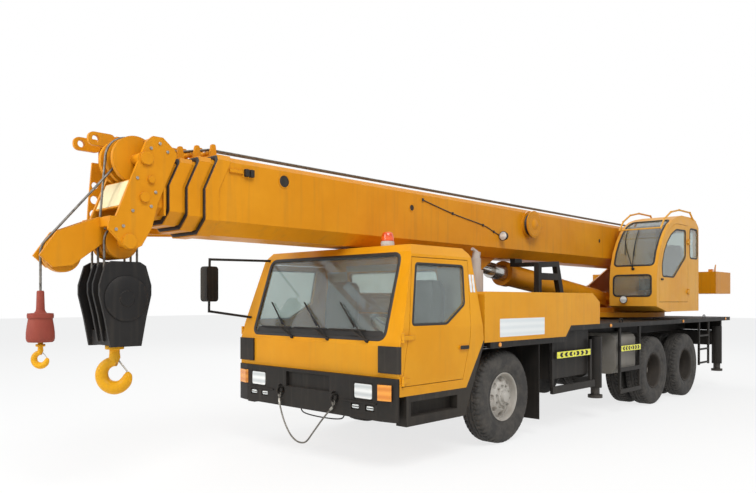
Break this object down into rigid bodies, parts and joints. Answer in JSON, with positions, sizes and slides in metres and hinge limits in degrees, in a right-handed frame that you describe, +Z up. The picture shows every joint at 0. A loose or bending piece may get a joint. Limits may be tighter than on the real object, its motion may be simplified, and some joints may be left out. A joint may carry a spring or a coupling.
{
  "type": "truck-mounted telescopic crane",
  "caption": "Truck crane on a three-axle carrier with a level telescopic boom, folded fly jib, operator cab, outriggers and two hooks.",
  "frame": {"origin": "on the ground below the middle of the crane's length and width", "axes": "+X forward over the driver cab, +Y to the crane's left, +Z up"},
  "size_m": [12.7623, 2.6246, 3.169],
  "materials": {
    "yellow_paint": "satin enamel",
    "cab_paint": "gloss enamel",
    "black_paint": "satin black paint",
    "cast_steel": "painted steel",
    "glass": "tinted glazing",
    "interior": "grained plastic and vinyl",
    "rubber": "dusty tread rubber",
    "lens": "moulded lamp lens",
    "tank_grey": "grey paint",
    "stack_grey": "weathered aluminium",
    "chrome_rod": "hard chrome",
    "hook_black": "black enamel",
    "hook_yellow": "yellow enamel",
    "ball_red": "red enamel",
    "wire_rope": "greased wire rope"
  },
  "bodies": {
    "carrier": {"chassis_frame": "black_paint", "deck": "black_paint", "outrigger_boxes": "black_paint", "engine_hood": "yellow_paint", "engine_block": "cast_steel", "cab_shell": "cab_paint", "cab_glass": "glass", "cab_interior": "interior", "cab_trim": "black_paint", "bumper": "black_paint", "lamps": "lens", "front_axle": "black_paint", "rear_bogie": "black_paint", "tanks": "tank_grey", "side_guards": "black_paint", "exhaust_stack": "stack_grey", "boom_rest": "black_paint", "slewing_ring": "black_paint", "tow_sling": "wire_rope", "air_hose": "rubber"},
    "knuckle_left": {"knuckle_left": "cast_steel"},
    "knuckle_right": {"knuckle_right": "cast_steel"},
    "wheel_front_left": {"wheel_front_left": "rubber"},
    "wheel_front_right": {"wheel_front_right": "rubber"},
    "wheel_mid_left": {"wheel_mid_left": "rubber"},
    "wheel_mid_right": {"wheel_mid_right": "rubber"},
    "wheel_rear_left": {"wheel_rear_left": "rubber"},
    "wheel_rear_right": {"wheel_rear_right": "rubber"},
    "door_left": {"door_left": "cab_paint", "door_left_glass": "glass"},
    "door_right": {"door_right": "cab_paint", "door_right_glass": "glass"},
    "beam_front_left": {"beam_front_left": "black_paint"},
    "jack_front_left": {"jack_front_left": "chrome_rod"},
    "beam_front_right": {"beam_front_right": "black_paint"},
    "jack_front_right": {"jack_front_right": "chrome_rod"},
    "beam_rear_left": {"beam_rear_left": "black_paint"},
    "jack_rear_left": {"jack_rear_left": "chrome_rod"},
    "beam_rear_right": {"beam_rear_right": "black_paint"},
    "jack_rear_right": {"jack_rear_right": "chrome_rod"},
    "superstructure": {"turntable_frame": "yellow_paint", "counterweight": "yellow_paint", "winches": "cast_steel", "op_cab_shell": "cab_paint", "op_cab_glass": "glass", "op_cab_interior": "interior"},
    "op_door": {"op_door": "cab_paint", "op_door_glass": "glass"},
    "boom_base": {"boom_base": "yellow_paint", "fly_jib": "yellow_paint"},
    "tele_2": {"tele_2": "yellow_paint"},
    "tele_3": {"tele_3": "yellow_paint"},
    "boom_head": {"boom_head": "yellow_paint"},
    "lift_barrel": {"lift_barrel": "yellow_paint"},
    "lift_rod": {"lift_rod": "chrome_rod"},
    "main_falls": {"main_falls": "wire_rope"},
    "hook_block": {"hook_block": "hook_black"},
    "main_hook": {"main_hook": "hook_yellow"},
    "aux_falls": {"aux_falls": "wire_rope"},
    "aux_hook": {"aux_hook": "ball_red"}
  },
  "joints": [
    {"name": "steer_left", "type": "hinge", "parent": "carrier", "child": "knuckle_left", "pos_m": [1.65, 0.87, 0.528], "axis": [0, 0, 1], "range_deg": [-35, 35]},
    {"name": "steer_right", "type": "hinge", "parent": "carrier", "child": "knuckle_right", "pos_m": [1.65, -0.87, 0.528], "axis": [0, 0, 1], "range_deg": [-35, 35]},
    {"name": "roll_front_left", "type": "hinge", "parent": "knuckle_left", "child": "wheel_front_left", "pos_m": [1.65, 1.038, 0.528], "axis": [0, 1, 0], "continuous": true},
    {"name": "roll_mid_left", "type": "hinge", "parent": "carrier", "child": "wheel_mid_left", "pos_m": [-2.475, 0.93, 0.528], "axis": [0, 1, 0], "continuous": true},
    {"name": "roll_rear_left", "type": "hinge", "parent": "carrier", "child": "wheel_rear_left", "pos_m": [-3.825, 0.93, 0.528], "axis": [0, 1, 0], "continuous": true},
    {"name": "roll_front_right", "type": "hinge", "parent": "knuckle_right", "child": "wheel_front_right", "pos_m": [1.65, -1.038, 0.528], "axis": [0, 1, 0], "continuous": true},
    {"name": "roll_mid_right", "type": "hinge", "parent": "carrier", "child": "wheel_mid_right", "pos_m": [-2.475, -0.93, 0.528], "axis": [0, 1, 0], "continuous": true},
    {"name": "roll_rear_right", "type": "hinge", "parent": "carrier", "child": "wheel_rear_right", "pos_m": [-3.825, -0.93, 0.528], "axis": [0, 1, 0], "continuous": true},
    {"name": "door_left_hinge", "type": "hinge", "parent": "carrier", "child": "door_left", "pos_m": [3.509, 1.267, 1.4], "axis": [0, 0, -1], "range_deg": [0, 70]},
    {"name": "door_right_hinge", "type": "hinge", "parent": "carrier", "child": "door_right", "pos_m": [3.509, -1.267, 1.4], "axis": [0, 0, 1], "range_deg": [0, 70]},
    {"name": "beam_front_left_out", "type": "slide", "parent": "carrier", "child": "beam_front_left", "axis": [0, 1, 0], "range_m": [0, 1.75]},
    {"name": "jack_front_left_down", "type": "slide", "parent": "beam_front_left", "child": "jack_front_left", "axis": [0, 0, -1], "range_m": [0, 0.5]},
    {"name": "beam_front_right_out", "type": "slide", "parent": "carrier", "child": "beam_front_right", "axis": [0, -1, 0], "range_m": [0, 1.75]},
    {"name": "jack_front_right_down", "type": "slide", "parent": "beam_front_right", "child": "jack_front_right", "axis": [0, 0, -1], "range_m": [0, 0.5]},
    {"name": "beam_rear_left_out", "type": "slide", "parent": "carrier", "child": "beam_rear_left", "axis": [0, 1, 0], "range_m": [0, 1.75]},
    {"name": "jack_rear_left_down", "type": "slide", "parent": "beam_rear_left", "child": "jack_rear_left", "axis": [0, 0, -1], "range_m": [0, 0.5]},
    {"name": "beam_rear_right_out", "type": "slide", "parent": "carrier", "child": "beam_rear_right", "axis": [0, -1, 0], "range_m": [0, 1.75]},
    {"name": "jack_rear_right_down", "type": "slide", "parent": "beam_rear_right", "child": "jack_rear_right", "axis": [0, 0, -1], "range_m": [0, 0.5]},
    {"name": "slew", "type": "hinge", "parent": "carrier", "child": "superstructure", "pos_m": [-3.55, 0, 1.34], "axis": [0, 0, 1], "continuous": true},
    {"name": "op_door_hinge", "type": "hinge", "parent": "superstructure", "child": "op_door", "pos_m": [-3.928, 1.227, 2.2], "axis": [0, 0, 1], "range_deg": [0, 85]},
    {"name": "luff", "type": "hinge", "parent": "superstructure", "child": "boom_base", "pos_m": [-4.95, 0, 2.48], "axis": [0, -1, 0], "range_deg": [0, 79]},
    {"name": "lift_swing", "type": "hinge", "parent": "superstructure", "child": "lift_barrel", "pos_m": [-3.1, 0, 1.64], "axis": [0, -1, 0], "range_deg": [0, 86.69]},
    {"name": "lift_stroke", "type": "slide", "parent": "lift_barrel", "child": "lift_rod", "axis": [0.9927, 0, 0.121], "range_m": [0, 2.5008]},
    {"name": "tele_2_out", "type": "slide", "parent": "boom_base", "child": "tele_2", "axis": [1, 0, 0], "range_m": [0, 7.2]},
    {"name": "tele_3_out", "type": "slide", "parent": "tele_2", "child": "tele_3", "axis": [1, 0, 0], "range_m": [0, 7.2]},
    {"name": "tele_4_out", "type": "slide", "parent": "tele_3", "child": "boom_head", "axis": [1, 0, 0], "range_m": [0, 7.2]},
    {"name": "main_plumb", "type": "hinge", "parent": "boom_head", "child": "main_falls", "pos_m": [5.69, 0, 2.1], "axis": [0, -1, 0], "range_deg": [-79, 0]},
    {"name": "main_hoist", "type": "slide", "parent": "main_falls", "child": "hook_block", "axis": [0, 0, -1], "range_m": [0, 0.7], "deforming": ["main_falls"]},
    {"name": "hook_swivel", "type": "hinge", "parent": "hook_block", "child": "main_hook", "pos_m": [5.69, 0, 1.2], "axis": [0, 0, 1], "continuous": true},
    {"name": "aux_plumb", "type": "hinge", "parent": "boom_head", "child": "aux_falls", "pos_m": [6.125, 0, 1.99], "axis": [0, -1, 0], "range_deg": [-79, 0]},
    {"name": "aux_hoist", "type": "slide", "parent": "aux_falls", "child": "aux_hook", "axis": [0, 0, 1], "range_m": [-1, 0], "deforming": ["aux_falls"]}
  ],
  "couplings": [
    {"joint": "steer_right", "follows": "steer_left", "ratio": 1},
    {"joint": "lift_swing", "follows": "luff", "ratio": 1.0972},
    {"joint": "lift_stroke", "follows": "luff", "m_per_rad": 1.8123},
    {"joint": "tele_4_out", "follows": "tele_3_out", "ratio": 1},
    {"joint": "main_plumb", "follows": "luff", "ratio": -1},
    {"joint": "aux_plumb", "follows": "luff", "ratio": -1}
  ]
}
